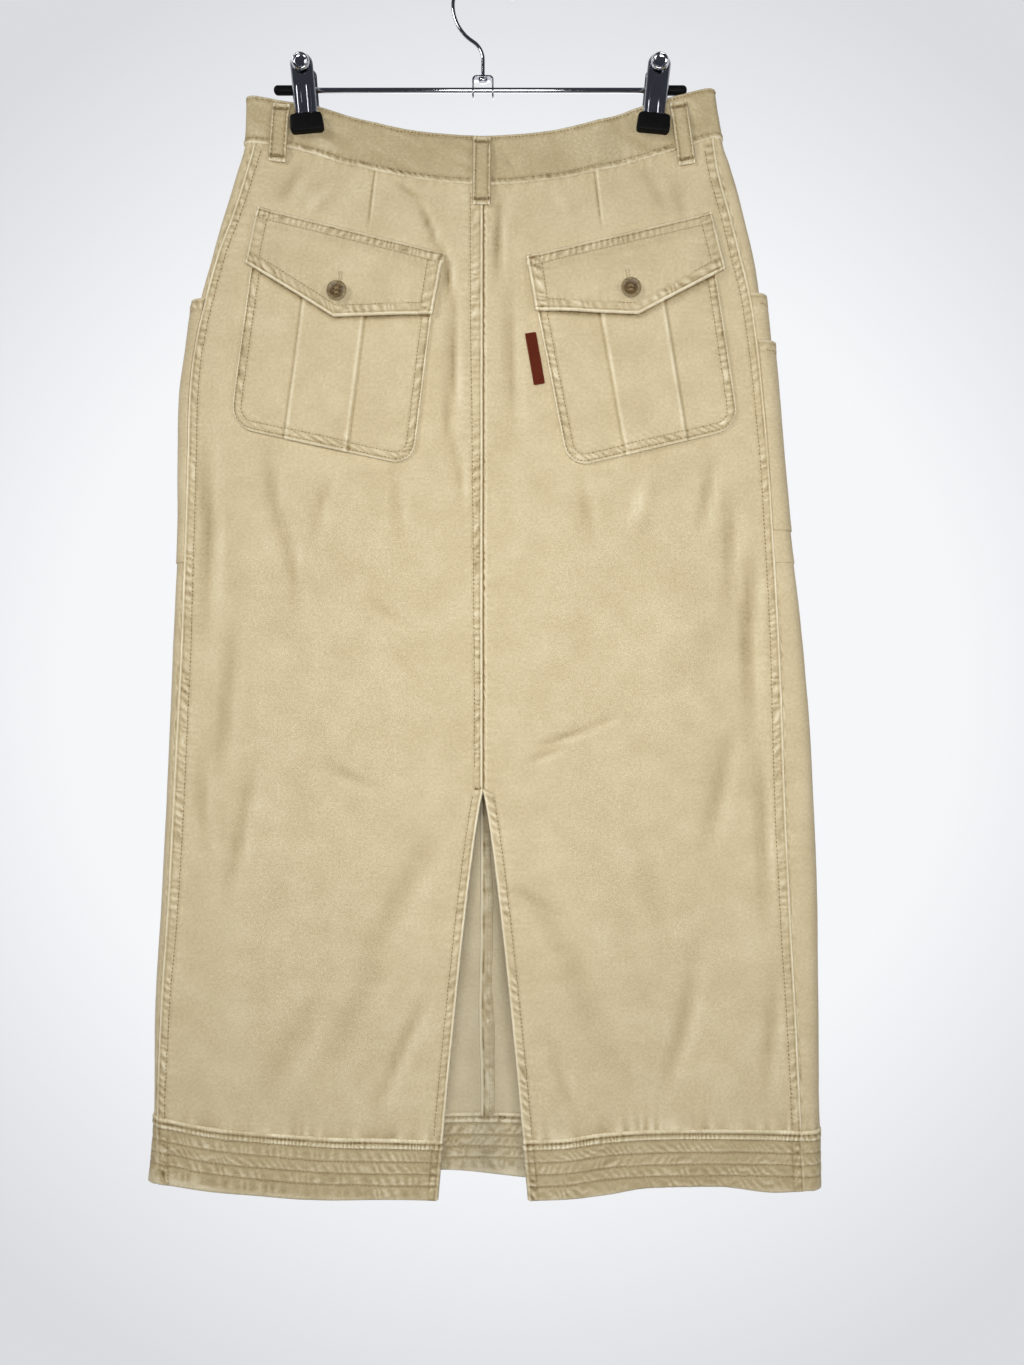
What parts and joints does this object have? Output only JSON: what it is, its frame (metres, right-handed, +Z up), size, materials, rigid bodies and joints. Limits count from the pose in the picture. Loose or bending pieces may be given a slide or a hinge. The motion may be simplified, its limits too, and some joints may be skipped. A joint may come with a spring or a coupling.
{
  "type": "cargo skirt on a clip hanger",
  "caption": "Midi-length cotton twill cargo skirt with flap pockets, belt loops, wide hem band and open back vent, hung flat from a metal clip hanger",
  "frame": {"origin": "inside top of the hanger's hook, where a rail carries it", "axes": "+Z up; -Y is the skirt's back, +Y its front; -X is the wearer's left"},
  "size_m": [0.5037, 0.0402, 0.9124],
  "materials": {
    "twill": "washed cotton twill, matt",
    "twill_double": "washed cotton twill, two layers, matt",
    "button": "horn-look resin, satin",
    "tab": "woven red-brown tab, plain",
    "steel": "bright chrome plate",
    "black_rubber": "black rubber, satin"
  },
  "bodies": {
    "root": {"back_panel_left": "twill", "back_panel_right": "twill", "front_panel_left": "twill", "front_panel_right": "twill", "back_pocket_left": "twill", "back_pocket_right": "twill", "front_pocket_left": "twill", "front_pocket_right": "twill", "front_pocket_small_right": "twill", "fly_lap": "twill", "waistband": "twill_double", "hem_band_back_left": "twill_double", "hem_band_back_right": "twill_double", "hem_band_front": "twill_double", "flap_left": "twill_double", "flap_right": "twill_double", "belt_loop_back_left": "twill_double", "belt_loop_back_centre": "twill_double", "belt_loop_back_right": "twill_double", "belt_loop_front_left": "twill_double", "belt_loop_front_right": "twill_double", "flap_button_left": "button", "flap_button_right": "button", "waist_button": "button", "label": "tab", "hanger_hook": "steel", "hanger_bracket": "steel", "hanger_rod": "steel", "clip_left_front_plate": "steel", "clip_left_back_plate": "steel", "clip_left_rivet": "steel", "clip_left_barrel": "steel", "clip_right_front_plate": "steel", "clip_right_back_plate": "steel", "clip_right_rivet": "steel", "clip_right_barrel": "steel", "rod_cap_left": "black_rubber", "rod_cap_right": "black_rubber", "clip_left_front_pad": "black_rubber", "clip_left_back_pad": "black_rubber", "clip_right_front_pad": "black_rubber", "clip_right_back_pad": "black_rubber"}
  },
  "joints": []
}
